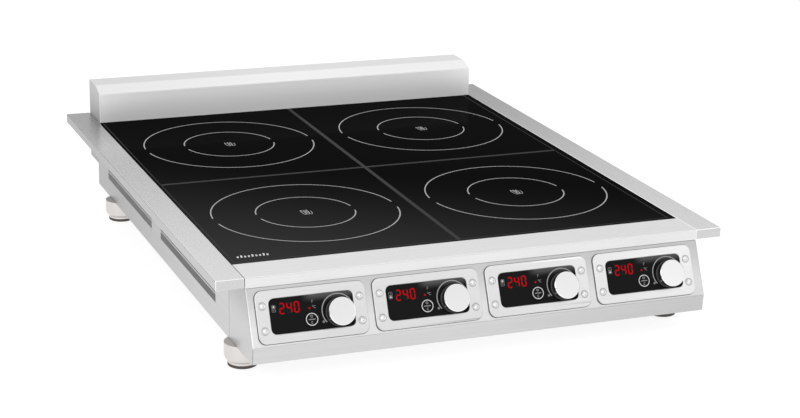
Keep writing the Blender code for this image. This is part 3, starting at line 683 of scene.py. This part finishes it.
# Window print, in millimetres from the module's middle. An arc is radius, start, end, x and y.
LETTER_F = [[(0.9, 11.8), (0.9, 15.2), (2.9, 15.2)], [(0.9, 13.6), (2.5, 13.6)]]
LETTER_C = (1.5, 50, 310, 4.2, 6.6)
DEGREE_RING = (0.7, 0, 350, 1.4, 8.0)
OFF_MARK = (1.6, 0, 352, 13.2, -13.0)
SQUARE_X = -48.7
SQUARE_ROWS = (11.9, 7.6)
SQUARE_SIZE = (4.6, 3.8, 1.0)
DIAMOND = ((1.3, 0), (0, 1), (-1.3, 0), (0, -1))
LIT_DIAMOND = 1.35
DARK_DIAMOND = 0.6
POWER_ARC = (20.9 * MM, 34, 219)
POWER_ARC_WIDTH = 1.25 * MM
LETTER_WIDTH = 0.5 * MM
DEGREE_WIDTH = 0.35 * MM
SQUARE_WIDTH = 0.45 * MM

BUTTON_PRINT_SPOT = (BUTTON_SPOT[0] + 0.7 * MM, BUTTON_SPOT[1] + 0.8 * MM)
BUTTON_RING = 7.4 * MM
BUTTON_RING_WIDTH = 0.95 * MM
BUTTON_BAR = 4.4 * MM        # from its middle to either end
BUTTON_BAR_WIDTH = 1.3 * MM
BUTTON_CURL = 1.3 * MM       # radius of the two small signs beside the bar
BUTTON_CURL_SPOT = (0.2 * MM, 3.9 * MM)

# Profiles of turned pieces: radius and height in millimetres.
KNOB_NECK = [(0.0, 13.6), (16.7, 13.6), (16.7, 5.6), (16.5, 5.4), (3.0, 5.4), (3.0, 2.1),
             (0.0, 2.1)]
KNOB_FLARE = [(3.0, 5.4), (17.2, 5.4), (17.8, 4.9), (17.8, 2.7), (17.6, 2.5), (3.0, 2.5)]
KNOB_CAP = [(0.0, 16.38), (12.0, 16.40), (16.6, 16.46)]
KNOB_CHAMFER = [(16.6, 16.46), (16.75, 16.5), (17.5, 15.75), (17.5, 13.9), (17.3, 13.6),
                (16.0, 13.6), (16.0, 16.3)]
POINTER_LOW = Vector((16.2 * MM, -0.5 * MM, 6.5 * MM))
POINTER_HIGH = Vector((16.9 * MM, 0.5 * MM, 12.5 * MM))
POINTER_TURN = math.radians(210)
SCREW_CUP = [(5.3, 0.0), (5.1, 0.35), (4.6, 0.5), (3.7, 0.15), (3.1, -0.3), (2.9, -0.7),
             (2.9, -1.0), (5.3, -1.0)]
SCREW_DOME = [(0.0, 1.35), (0.7, 1.3), (1.4, 1.1), (2.0, 0.75), (2.5, 0.25), (2.7, -0.3),
              (2.7, -0.9), (0.0, -0.9)]
SCREW_ROUND = 40


def module_matrix(number):
    """Frame on the fascia under a bezel: X across, Y up the slope, Z straight out of it."""
    joint = next(j for j in frame["joints"] if j["name"] == "knob_%d_turn" % number)
    outward = -Vector(joint["axis"]).normalized()
    low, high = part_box("bezel_plate_%d" % number)
    origin = (low + high) / 2 - outward * BEZEL_MIDDLE
    across = Vector((1.0, 0.0, 0.0))
    up = outward.cross(across)
    turn = Matrix((across, up, outward)).transposed().to_4x4()
    return Matrix.Translation(origin) @ turn


def segment_outline(letter, x, y):
    """Six-cornered outline of one display segment, in a digit whose lower left is at x, y."""
    width, height = DIGIT
    inset = SEGMENT_WIDTH / 2
    half = height / 2
    ends = {"a": ((0, height), (width, height)), "g": ((0, half), (width, half)),
            "d": ((0, 0), (width, 0)), "b": ((width, half), (width, height)),
            "c": ((width, 0), (width, half)), "e": ((0, 0), (0, half)),
            "f": ((0, half), (0, height))}
    start, end = [Vector(spot) for spot in ends[letter]]
    for spot in (start, end):
        spot.x = min(max(spot.x, inset), width - inset)
        spot.y = min(max(spot.y, inset), height - inset)
    along = (end - start).normalized()
    start += along * SEGMENT_GAP
    end -= along * SEGMENT_GAP
    across = Vector((-along.y, along.x)) * inset
    corners = [start, start + along * inset + across, end - along * inset + across, end,
               end - along * inset - across, start + along * inset - across]
    return [(x + c.x, y + c.y) for c in corners]


def build_digits(number, matrix):
    """The lit segments of 240 with a point, and the dark ones beside them."""
    lit, unlit = bmesh.new(), bmesh.new()
    for place, digit in enumerate("240"):
        x = DIGITS_AT[0] + place * DIGIT_PITCH
        for letter in "abcdefg":
            on = letter in SEGMENTS[digit]
            add_slab(lit if on else unlit, segment_outline(letter, x, DIGITS_AT[1]), WINDOW_TOP,
                     WINDOW_TOP + (LIT_HEIGHT if on else UNLIT_HEIGHT))
    point = arc(POINT_RADIUS, 0, 355, POINT_SPOT)
    add_slab(lit, point, WINDOW_TOP, WINDOW_TOP + LIT_HEIGHT)
    piece("display_digits_%d" % number, mesh_from("display_digits", lit), GLOW_RED, matrix=matrix)
    piece("unlit_segments_%d" % number, mesh_from("unlit_segments", unlit), UNLIT_SEGMENT,
          matrix=matrix)


def build_window_print(number, matrix):
    """Temperature scale letters, off mark, the two small zone squares and the power arc."""
    low, high = WINDOW_TOP, WINDOW_TOP + UNLIT_HEIGHT
    work = bmesh.new()
    for line in LETTER_F:
        add_stroke(work, [(x * MM, y * MM) for x, y in line], LETTER_WIDTH, low, high)
    add_stroke(work, scaled_arc(*DEGREE_RING), DEGREE_WIDTH, low, high, closed=True)
    add_stroke(work, scaled_arc(*LETTER_C), LETTER_WIDTH, low, high)
    add_slab(work, scaled_arc(*OFF_MARK), low, high)
    piece("window_print_%d" % number, mesh_from("window_print", work), DIM_PRINT, matrix=matrix)

    upper_on = number in (1, 3)
    outline, glow = bmesh.new(), bmesh.new()
    width, height, corner = [side * MM for side in SQUARE_SIZE]
    for y, on in zip(SQUARE_ROWS, (upper_on, not upper_on)):
        square = rounded_rectangle(width, height, corner, (SQUARE_X * MM, y * MM))
        add_stroke(outline, square, SQUARE_WIDTH, low, high, closed=True)
        size = LIT_DIAMOND if on else DARK_DIAMOND
        diamond = [((SQUARE_X + size * a) * MM, (y + size * b) * MM) for a, b in DIAMOND]
        add_slab(glow if on else outline, diamond, low,
                 WINDOW_TOP + (LIT_HEIGHT if on else UNLIT_HEIGHT))
    piece("zone_squares_%d" % number, mesh_from("zone_squares", outline), DIM_PRINT, matrix=matrix)
    piece("zone_light_%d" % number, mesh_from("zone_light", glow), GLOW_WHITE, matrix=matrix)

    work = bmesh.new()
    add_stroke(work, arc(*POWER_ARC, ARC_SPOT), POWER_ARC_WIDTH, low, high)
    piece("power_arc_%d" % number, mesh_from("power_arc", work), WINDOW_PRINT, matrix=matrix)


def scaled_arc(radius, start, end, x, y):
    """Points along an arc given in millimetres."""
    return arc(radius * MM, start, end, (x * MM, y * MM))


def build_window(number, matrix):
    """Black pane with a hole for the button, and a dark strip round the bezel as a painted shadow
    line.
    """
    button_hole = arc(BUTTON_HOLE, 0, 357, BUTTON_SPOT)
    mesh = plate("window_pane", [rounded_rectangle(*WINDOW), button_hole], PANE_BACK, WINDOW_TOP)
    pane = piece("window_pane_%d" % number, mesh, ACRYLIC, matrix=matrix,
                 replaces=["display_window_%d" % number])
    round_edges(pane, PANE_ROUNDING)
    # Painted shadow: the dark strip's rim outside the bezel stands in for the shade in the gap.
    width, height = SHADOW_LINE_SIZE
    outside = rounded_rectangle(width, height, 10.0 * MM)
    inside = rounded_rectangle(width - 2 * SHADOW_LINE_WIDTH, height - 2 * SHADOW_LINE_WIDTH, 6.0 * MM)
    shadow_line = plate("bezel_shadow_line", [outside, inside], 0.02 * MM, 0.7 * MM)
    piece("bezel_gasket_%d" % number, shadow_line, SHADOW_LINE_DARK, matrix=matrix)


def build_button_print(number, matrix):
    """Ring and plain sign on a button, moving with it."""
    body = "push_button_%d_body" % number
    low, high = BUTTON_TOP, BUTTON_TOP + PRINT_HEIGHT
    work = bmesh.new()
    x, y = BUTTON_PRINT_SPOT
    ring = arc(BUTTON_RING, 0, 357.5, (x, y))
    add_stroke(work, ring, BUTTON_RING_WIDTH, low, high, closed=True)
    piece("button_ring_%d" % number, mesh_from("button_ring", work), SYMBOL_PRINT, body, matrix)
    work = bmesh.new()
    across, rise = BUTTON_CURL_SPOT
    bar = [(x - BUTTON_BAR, y), (x + BUTTON_BAR, y)]
    upper = arc(BUTTON_CURL, 0, 350, (x - across, y + rise))
    lower = arc(BUTTON_CURL, 60, 300, (x + across, y - rise))
    add_stroke(work, bar, BUTTON_BAR_WIDTH, low, high)
    add_stroke(work, upper, 0.9 * MM, low, high, closed=True)
    add_stroke(work, lower, 0.8 * MM, low, high)
    piece("button_glyph_%d" % number, mesh_from("button_glyph", work), DIM_PRINT, body, matrix)


def build_knob(number, matrix):
    """Black body with a grey skirt, under a spun aluminium cap with a bright chamfer."""
    body = "knob_%d_body" % number
    axis = matrix @ Matrix.Translation((*KNOB_SPOT, 0.0))
    parts = (("knob_neck", KNOB_NECK, KNOB_BODY, False),
             ("knob_skirt", KNOB_FLARE, KNOB_SKIRT, True),
             ("knob_face", KNOB_CAP, KNOB_FACE, False),
             ("knob_rim", KNOB_CHAMFER, KNOB_RIM, True))
    for name, profile, look, closed in parts:
        work = bmesh.new()
        add_turned(work, profile, closed=closed)
        replaced = ["knob_%d" % number] if name == "knob_neck" else []
        piece("%s_%d" % (name, number), mesh_from(name, work, 35), look, body, axis,
              replaced)
    work = bmesh.new()
    add_box(work, POINTER_LOW, POINTER_HIGH)
    pointer = axis @ Matrix.Rotation(POINTER_TURN, 4, "Z")
    piece("knob_pointer_%d" % number, mesh_from("knob_pointer", work), WINDOW_PRINT, body,
          pointer)


def build_screws(number, matrix):
    """Four cup washers pressed into the bezel, each with a domed screw."""
    cups, heads = bmesh.new(), bmesh.new()
    for _, sign in SIDES:
        for row in SCREW_ROWS:
            spot = Matrix.Translation((sign * SCREW_ACROSS, row, BEZEL_TOP))
            add_turned(cups, SCREW_CUP, spot, SCREW_ROUND, closed=True)
            add_turned(heads, SCREW_DOME, spot, SCREW_ROUND)
    piece("screw_cups_%d" % number, mesh_from("screw_cups", cups, 50), CUP_STEEL, matrix=matrix)
    piece("screw_heads_%d" % number, mesh_from("screw_heads", heads, 60), SCREW_STEEL,
          matrix=matrix)


def build_modules():
    for number in MODULES:
        matrix = module_matrix(number)
        build_window(number, matrix)
        build_digits(number, matrix)
        build_window_print(number, matrix)
        build_button_print(number, matrix)
        build_knob(number, matrix)
        build_screws(number, matrix)


# Vents, legs and the back ---------------------------------------------------------------------

VENT_GROUPS = ((129 * MM, 403 * MM), (453 * MM, 717 * MM))
VENT_ROWS = (52 * MM, 65 * MM)
VENT_HEIGHT = 11 * MM
SLAT_PITCH = 3.4 * MM
SLAT_WIDTH = 1.3 * MM
SLAT_THICKNESS = 0.8 * MM
SLAT_SETBACK = 0.6 * MM      # from a panel's face to the middle of its slats
SLAT_OVERLAP = 0.3 * MM      # into the panel, above and below an opening

# Profiles of turned pieces: radius and height in millimetres. A leg's goes on up to its own top.
LEG_BORE = 6.4
LEG_SHELL = [(23.5, 15.5), (23.3, 13.8), (22.9, 12.3), (22.2, 10.8), (21.3, 9.5), (20.4, 8.6),
             (19.4, 8.0), (LEG_BORE, 8.0)]
FOOT_COLLAR = [(0.0, 30.0), (6.0, 30.0), (6.0, 7.7), (17.8, 7.7), (18.5, 7.2), (18.5, 4.4),
               (0.0, 4.4)]
FOOT_PAD = [(0.0, 4.4), (18.2, 4.4), (18.8, 4.2), (19.0, 3.6), (18.8, 3.1), (19.0, 2.6),
            (18.8, 2.1), (19.0, 1.6), (18.8, 0.8), (17.4, 0.0), (13.0, 0.0), (12.4, 0.5),
            (0.0, 0.5)]
GLAND_BODY = [(7.0, 22.0), (9.2, 20.4), (10.1, 18.4), (10.3, 9.2), (9.2, 9.0), (9.2, 8.4),
              (8.0, 8.4), (8.0, -9.0), (4.5, -9.0), (4.5, 22.0)]
GLAND_RIBS = 16
RIB_SPOT = (10.1 * MM, 0.0, 13.6 * MM)
RIB_SIZE = (0.8 * MM, 1.4 * MM, 8.0 * MM)
NUT_RADIUS = 12.4 * MM
NUT_BORE = 8.1 * MM
REAR_SCREW = [(0.0, 0.5), (1.2, 0.5), (1.3, 1.5), (2.2, 1.45), (3.1, 1.1), (3.6, 0.5),
              (3.7, 0.0), (0.0, 0.0)]
REAR_SCREW_SINK = 1.5 * MM
HOUSING_SCREWS = (-290, -145, 0, 145, 290)      # across the housing, in millimetres
PANEL_SCREWS = (-295, -100, 100, 295)
HOUSING_SCREWS_DOWN = 14 * MM
PANEL_SCREWS_UP = 8 * MM
FACING_BACK = Matrix.Rotation(-math.pi / 2, 4, "X")


def build_vent_grilles():
    """Fine upright slats across each vent, a little behind the panel's face."""
    front_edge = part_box("front_top_strip")[0].y
    glass_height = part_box("glass_top")[1].z
    for side, sign in SIDES:
        low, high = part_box(side + "_side_panel")
        face = high.x if sign > 0 else low.x
        middle = face - sign * SLAT_SETBACK
        near, far = middle - SLAT_THICKNESS / 2, middle + SLAT_THICKNESS / 2
        for group, (start, end) in enumerate(VENT_GROUPS):
            work = bmesh.new()
            count = int((end - start) / SLAT_PITCH)
            for row in VENT_ROWS:
                for k in range(1, count + 1):
                    y = front_edge + start + (k - 0.5) * (end - start) / count
                    top = glass_height - row + SLAT_OVERLAP
                    bottom = glass_height - row - VENT_HEIGHT - SLAT_OVERLAP
                    add_box(work, (near, y - SLAT_WIDTH / 2, bottom),
                            (far, y + SLAT_WIDTH / 2, top))
            piece("%s_vent_grille_%s" % (side, ENDS[group]), mesh_from("vent_grille", work),
                  SLAT_STEEL)


def build_legs():
    """Turned legs, and feet with a collar and a ribbed pad, for the frame's faceted ones."""
    for end in ENDS:
        for side, _ in SIDES:
            name = "%s_%s" % (end, side)
            low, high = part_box(name + "_leg")
            axis = Matrix.Translation(((low.x + high.x) / 2, (low.y + high.y) / 2, 0.0))
            top = high.z / MM
            work = bmesh.new()
            add_turned(work, [(LEG_SHELL[0][0], top), *LEG_SHELL, (LEG_BORE, top)], closed=True)
            piece(name + "_leg_sleeve", mesh_from("leg_sleeve", work), LEG_FINISH, matrix=axis,
                  replaces=[name + "_leg"])
            body = name + "_foot_body"
            work = bmesh.new()
            add_turned(work, FOOT_COLLAR)
            piece(name + "_foot_collar", mesh_from("foot_collar", work), LEG_FINISH, body, axis)
            work = bmesh.new()
            add_turned(work, FOOT_PAD)
            piece(name + "_foot_pad", mesh_from("foot_pad", work), FOOT_RUBBER, body, axis,
                  [name + "_foot"])


def build_gland():
    """Cable gland: ribbed cap with its bore, and a hexagonal nut."""
    low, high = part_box("cable_gland")
    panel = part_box("rear_panel")[1].y
    across = (low.x + high.x) / 2
    height = (low.z + high.z) / 2
    axis = Matrix.Translation((across, panel, height)) @ FACING_BACK
    work = bmesh.new()
    add_turned(work, GLAND_BODY, steps=48, closed=True)
    for k in range(GLAND_RIBS):
        around = Matrix.Rotation(2 * math.pi * k / GLAND_RIBS, 4, "Z")
        rib = around @ Matrix.Translation(RIB_SPOT) @ Matrix.Diagonal((*RIB_SIZE, 1.0))
        bmesh.ops.create_cube(work, size=1.0, matrix=rib)
    piece("gland_cap", mesh_from("gland_cap", work), BLACK_PLASTIC, matrix=axis,
          replaces=["cable_gland"])
    corners = [math.pi / 3 * k for k in range(6)]
    hexagon = [(NUT_RADIUS * math.cos(turn), NUT_RADIUS * math.sin(turn)) for turn in corners]
    mesh = plate("gland_nut", [hexagon, arc(NUT_BORE, 0, 355)], 0.3 * MM, 8.3 * MM)
    nut = piece("gland_nut", mesh, BLACK_PLASTIC, matrix=axis)
    round_edges(nut, 0.5 * MM)


def build_rear_screws():
    """Pan-head screws with a round recess, along the rear panel's foot and the housing's top."""
    panel_low, panel_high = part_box("rear_panel")
    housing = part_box("rear_housing")[1]
    spots = [(x * MM, housing.y, housing.z - HOUSING_SCREWS_DOWN) for x in HOUSING_SCREWS]
    spots += [(x * MM, panel_high.y, panel_low.z + PANEL_SCREWS_UP) for x in PANEL_SCREWS]
    work = bmesh.new()
    for x, y, z in spots:
        place = Matrix.Translation((x, y - REAR_SCREW_SINK, z)) @ FACING_BACK
        add_turned(work, REAR_SCREW, place, 36)
    piece("rear_screws", mesh_from("rear_screws", work), SCREW_STEEL)


# Studio ---------------------------------------------------------------------------------------

FLOOR_REACH = 20.0           # from the middle of the floor to its edges, in metres
WORLD_STOPS = ((0.0, 0.22), (0.20, 0.32), (0.40, 0.95), (0.58, 1.0))     # height and brightness


def build_floor():
    """Plain white paper that glows a little, so that the object's surroundings stay pale."""
    work = bmesh.new()
    bmesh.ops.create_grid(work, x_segments=8, y_segments=8, size=FLOOR_REACH)
    mesh = mesh_from("studio_floor", work)
    floor = bpy.data.objects.new("studio_floor", mesh)
    bpy.context.scene.collection.objects.link(floor)
    paper = Surface("white_paper", Roughness=0.9, Emission_Color=grey(1.0),
                    Emission_Strength=0.80)
    paper.colour(paper.noise(evenly(2.0), 2.0), grey(0.24), grey(0.26))
    mesh.materials.append(paper.material)


def build_world():
    """White overhead, fading to grey at the horizon."""
    world = bpy.data.worlds.new("studio")
    bpy.context.scene.world = world
    world.use_nodes = True
    nodes, links = world.node_tree.nodes, world.node_tree.links
    split = nodes.new("ShaderNodeSeparateXYZ")
    ramp = nodes.new("ShaderNodeValToRGB")
    links.new(nodes.new("ShaderNodeTexCoord").outputs["Generated"], split.inputs["Vector"])
    links.new(split.outputs["Z"], ramp.inputs["Fac"])
    while len(ramp.color_ramp.elements) < len(WORLD_STOPS):
        ramp.color_ramp.elements.new(0.5)
    for element, (position, level) in zip(ramp.color_ramp.elements, WORLD_STOPS):
        element.position = position
        element.color = (*grey(level), 1.0)
    links.new(ramp.outputs["Color"], nodes["Background"].inputs["Color"])
    nodes["Background"].inputs["Strength"].default_value = 1.0


def add_light(name, place, target, size, power):
    """Adds a rectangular lamp that shines from a place to a target."""
    lamp = bpy.data.lights.new(name, "AREA")
    lamp.shape = "RECTANGLE"
    lamp.size, lamp.size_y = size
    lamp.energy = power
    obj = bpy.data.objects.new(name, lamp)
    bpy.context.scene.collection.objects.link(obj)
    obj.location = place
    obj.rotation_mode = "QUATERNION"
    obj.rotation_quaternion = (Vector(target) - Vector(place)).to_track_quat("-Z", "Y")


CAMERA_PLACE = Vector((-0.9845, -2.5960, 0.9431))
CAMERA_AZIMUTH = math.radians(21.668)
CAMERA_ELEVATION = math.radians(17.349)
CAMERA_ROLL = math.radians(1.197)
CAMERA_LENS = 89.76


def build_camera():
    """Level camera turned by its azimuth and elevation, then rolled about its own axis."""
    data = bpy.data.cameras.new("camera")
    data.sensor_width = 36.0
    data.lens = CAMERA_LENS
    data.clip_end = 100.0
    camera = bpy.data.objects.new("camera", data)
    bpy.context.scene.collection.objects.link(camera)
    level = math.cos(CAMERA_ELEVATION)
    forward = Vector((math.sin(CAMERA_AZIMUTH) * level, math.cos(CAMERA_AZIMUTH) * level,
                      -math.sin(CAMERA_ELEVATION)))
    right = Vector((math.cos(CAMERA_AZIMUTH), -math.sin(CAMERA_AZIMUTH), 0.0))
    up = right.cross(forward)
    rolled_right = math.cos(CAMERA_ROLL) * right + math.sin(CAMERA_ROLL) * up
    rolled_up = math.cos(CAMERA_ROLL) * up - math.sin(CAMERA_ROLL) * right
    turn = Matrix((rolled_right, rolled_up, -forward)).transposed().to_4x4()
    camera.matrix_world = Matrix.Translation(CAMERA_PLACE) @ turn
    bpy.context.scene.camera = camera


dress_frame()
build_glass_print()
build_modules()
build_vent_grilles()
build_legs()
build_gland()
build_rear_screws()
build_floor()
build_world()
add_light("soft_key", place=(-1.9, -2.4, 1.5), target=(0.0, 0.2, 0.15), size=(3.4, 2.4),
          power=44.0)
add_light("soft_fill", place=(2.4, -2.2, 1.8), target=(0.0, 0.0, 0.1), size=(2.0, 1.4),
          power=6.0)
build_camera()
bpy.context.scene.view_settings.view_transform = "Standard"
